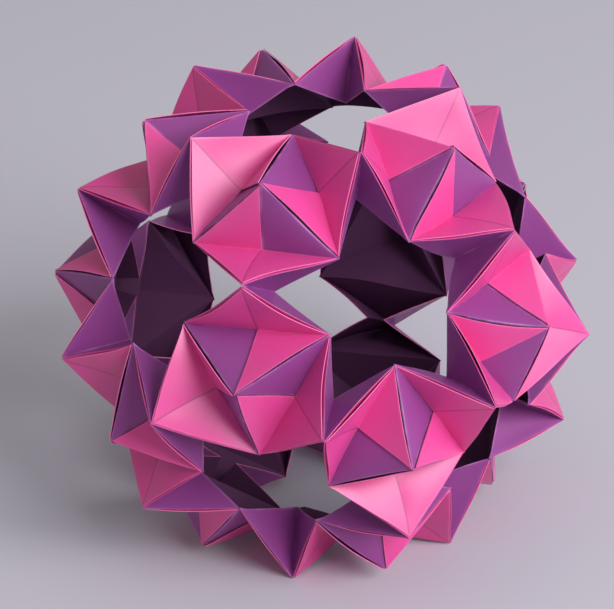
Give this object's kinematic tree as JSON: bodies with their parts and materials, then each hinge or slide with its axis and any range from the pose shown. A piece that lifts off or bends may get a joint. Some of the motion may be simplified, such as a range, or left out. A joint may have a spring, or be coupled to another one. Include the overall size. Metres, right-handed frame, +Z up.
{
  "type": "modular folded paper ball",
  "caption": "Hollow ball of interlocked folded paper modules, two-tone pink and purple, with square corners, pointed tips and star-shaped windows all round",
  "frame": {"origin": "centre of the circle of the five tips that the ball stands on, on the floor", "axes": "+Z up through the middle of the top and bottom windows; +X towards the middle of an upper window's meridian, +Y to its left"},
  "size_m": [0.1302, 0.1342, 0.1142],
  "materials": {
    "pink_paper": "satin"
  },
  "bodies": {
    "root": {"top_module_1": "pink_paper", "top_module_2": "pink_paper", "top_module_3": "pink_paper", "top_module_4": "pink_paper", "top_module_5": "pink_paper", "upper_module_1": "pink_paper", "upper_module_2": "pink_paper", "upper_module_3": "pink_paper", "upper_module_4": "pink_paper", "upper_module_5": "pink_paper", "belt_module_1": "pink_paper", "belt_module_2": "pink_paper", "belt_module_3": "pink_paper", "belt_module_4": "pink_paper", "belt_module_5": "pink_paper", "belt_module_6": "pink_paper", "belt_module_7": "pink_paper", "belt_module_8": "pink_paper", "belt_module_9": "pink_paper", "belt_module_10": "pink_paper", "lower_module_1": "pink_paper", "lower_module_2": "pink_paper", "lower_module_3": "pink_paper", "lower_module_4": "pink_paper", "lower_module_5": "pink_paper", "bottom_module_1": "pink_paper", "bottom_module_2": "pink_paper", "bottom_module_3": "pink_paper", "bottom_module_4": "pink_paper", "bottom_module_5": "pink_paper"}
  },
  "joints": []
}
